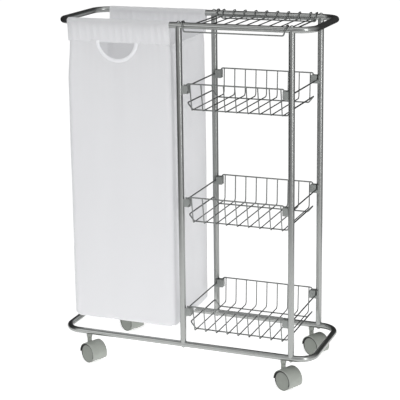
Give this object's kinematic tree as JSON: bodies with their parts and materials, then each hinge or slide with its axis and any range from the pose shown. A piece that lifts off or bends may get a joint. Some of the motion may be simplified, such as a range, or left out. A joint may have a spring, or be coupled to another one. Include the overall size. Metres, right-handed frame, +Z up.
{
  "type": "laundry sorter on wheels",
  "caption": "Slim tube-framed laundry trolley with a hanging fabric bag beside wire baskets, a wire shelf on top and castering twin wheels.",
  "frame": {"origin": "on the floor, under the middle of the frame, midway between its front and rear rails", "axes": "+X along the trolley from the bag to the baskets, +Y to the rear, +Z up"},
  "size_m": [0.675, 0.2997, 0.8824],
  "materials": {
    "frame_tube": "satin silver tube",
    "wire": "dark grey coated wire",
    "bracket_plastic": "mid grey moulded plastic",
    "caster_plastic": "light grey-green moulded plastic",
    "wheel_plastic": "light grey-green moulded plastic",
    "bag_fabric": "white woven fabric",
    "screw_steel": "zinc-plated",
    "inner_steel": "plain",
    "inner_plastic": "moulded"
  },
  "bodies": {
    "frame": {"top_rail_left": "frame_tube", "top_rail_right": "frame_tube", "bottom_rail_left": "frame_tube", "bottom_rail_right": "frame_tube", "upright_front_left": "frame_tube", "upright_rear_left": "frame_tube", "upright_front_right": "frame_tube", "upright_rear_right": "frame_tube", "rail_joint_sleeves": "inner_steel", "upright_plugs": "inner_plastic", "frame_screws": "screw_steel", "bracket_screws": "screw_steel", "laundry_bag": "bag_fabric", "caster_sockets": "caster_plastic", "bracket_top_front_left": "bracket_plastic", "bracket_top_rear_left": "bracket_plastic", "bracket_top_front_right": "bracket_plastic", "bracket_top_rear_right": "bracket_plastic", "bracket_middle_front_left": "bracket_plastic", "bracket_middle_rear_left": "bracket_plastic", "bracket_middle_front_right": "bracket_plastic", "bracket_middle_rear_right": "bracket_plastic", "bracket_bottom_front_left": "bracket_plastic", "bracket_bottom_rear_left": "bracket_plastic", "bracket_bottom_front_right": "bracket_plastic", "bracket_bottom_rear_right": "bracket_plastic", "caster_stem_front_left": "screw_steel", "caster_stem_rear_left": "screw_steel", "caster_stem_front_right": "screw_steel", "caster_stem_rear_right": "screw_steel"},
    "shelf": {"shelf_frame_wire": "wire", "shelf_cross_wires": "wire"},
    "basket_top": {"basket_top_rim": "wire", "basket_top_cross_wires": "wire", "basket_top_floor_ring": "wire"},
    "basket_middle": {"basket_middle_rim": "wire", "basket_middle_cross_wires": "wire", "basket_middle_floor_ring": "wire"},
    "basket_bottom": {"basket_bottom_rim": "wire", "basket_bottom_cross_wires": "wire", "basket_bottom_floor_ring": "wire"},
    "caster_front_left": {"caster_hood_front_left": "caster_plastic", "caster_axle_front_left": "inner_steel"},
    "wheel_outer_front_left": {"wheel_outer_front_left": "wheel_plastic"},
    "wheel_inner_front_left": {"wheel_inner_front_left": "wheel_plastic"},
    "caster_rear_left": {"caster_hood_rear_left": "caster_plastic", "caster_axle_rear_left": "inner_steel"},
    "wheel_outer_rear_left": {"wheel_outer_rear_left": "wheel_plastic"},
    "wheel_inner_rear_left": {"wheel_inner_rear_left": "wheel_plastic"},
    "caster_front_right": {"caster_hood_front_right": "caster_plastic", "caster_axle_front_right": "inner_steel"},
    "wheel_outer_front_right": {"wheel_outer_front_right": "wheel_plastic"},
    "wheel_inner_front_right": {"wheel_inner_front_right": "wheel_plastic"},
    "caster_rear_right": {"caster_hood_rear_right": "caster_plastic", "caster_axle_rear_right": "inner_steel"},
    "wheel_outer_rear_right": {"wheel_outer_rear_right": "wheel_plastic"},
    "wheel_inner_rear_right": {"wheel_inner_rear_right": "wheel_plastic"}
  },
  "joints": [
    {"name": "shelf_lift", "type": "slide", "parent": "frame", "child": "shelf", "axis": [0, 0, 1], "range_m": [0, 0.03]},
    {"name": "basket_top_lift", "type": "slide", "parent": "frame", "child": "basket_top", "axis": [0, 0, 1], "range_m": [0, 0.03]},
    {"name": "basket_middle_lift", "type": "slide", "parent": "frame", "child": "basket_middle", "axis": [0, 0, 1], "range_m": [0, 0.03]},
    {"name": "basket_bottom_lift", "type": "slide", "parent": "frame", "child": "basket_bottom", "axis": [0, 0, 1], "range_m": [0, 0.03]},
    {"name": "swivel_front_left", "type": "hinge", "parent": "frame", "child": "caster_front_left", "pos_m": [-0.26, -0.118, 0.055], "axis": [0, 0, 1], "continuous": true},
    {"name": "spin_outer_front_left", "type": "hinge", "parent": "caster_front_left", "child": "wheel_outer_front_left", "pos_m": [-0.24652, -0.12458, 0.024], "axis": [0.4384, 0.8988, 0], "continuous": true},
    {"name": "spin_inner_front_left", "type": "hinge", "parent": "caster_front_left", "child": "wheel_inner_front_left", "pos_m": [-0.24652, -0.12458, 0.024], "axis": [0.4384, 0.8988, 0], "continuous": true},
    {"name": "swivel_rear_left", "type": "hinge", "parent": "frame", "child": "caster_rear_left", "pos_m": [-0.26, 0.118, 0.055], "axis": [0, 0, 1], "continuous": true},
    {"name": "spin_outer_rear_left", "type": "hinge", "parent": "caster_rear_left", "child": "wheel_outer_rear_left", "pos_m": [-0.24652, 0.11142, 0.024], "axis": [0.4384, 0.8988, 0], "continuous": true},
    {"name": "spin_inner_rear_left", "type": "hinge", "parent": "caster_rear_left", "child": "wheel_inner_rear_left", "pos_m": [-0.24652, 0.11142, 0.024], "axis": [0.4384, 0.8988, 0], "continuous": true},
    {"name": "swivel_front_right", "type": "hinge", "parent": "frame", "child": "caster_front_right", "pos_m": [0.26, -0.118, 0.055], "axis": [0, 0, 1], "continuous": true},
    {"name": "spin_outer_front_right", "type": "hinge", "parent": "caster_front_right", "child": "wheel_outer_front_right", "pos_m": [0.27348, -0.12458, 0.024], "axis": [0.4384, 0.8988, 0], "continuous": true},
    {"name": "spin_inner_front_right", "type": "hinge", "parent": "caster_front_right", "child": "wheel_inner_front_right", "pos_m": [0.27348, -0.12458, 0.024], "axis": [0.4384, 0.8988, 0], "continuous": true},
    {"name": "swivel_rear_right", "type": "hinge", "parent": "frame", "child": "caster_rear_right", "pos_m": [0.26, 0.118, 0.055], "axis": [0, 0, 1], "continuous": true},
    {"name": "spin_outer_rear_right", "type": "hinge", "parent": "caster_rear_right", "child": "wheel_outer_rear_right", "pos_m": [0.27348, 0.11142, 0.024], "axis": [0.4384, 0.8988, 0], "continuous": true},
    {"name": "spin_inner_rear_right", "type": "hinge", "parent": "caster_rear_right", "child": "wheel_inner_rear_right", "pos_m": [0.27348, 0.11142, 0.024], "axis": [0.4384, 0.8988, 0], "continuous": true}
  ]
}
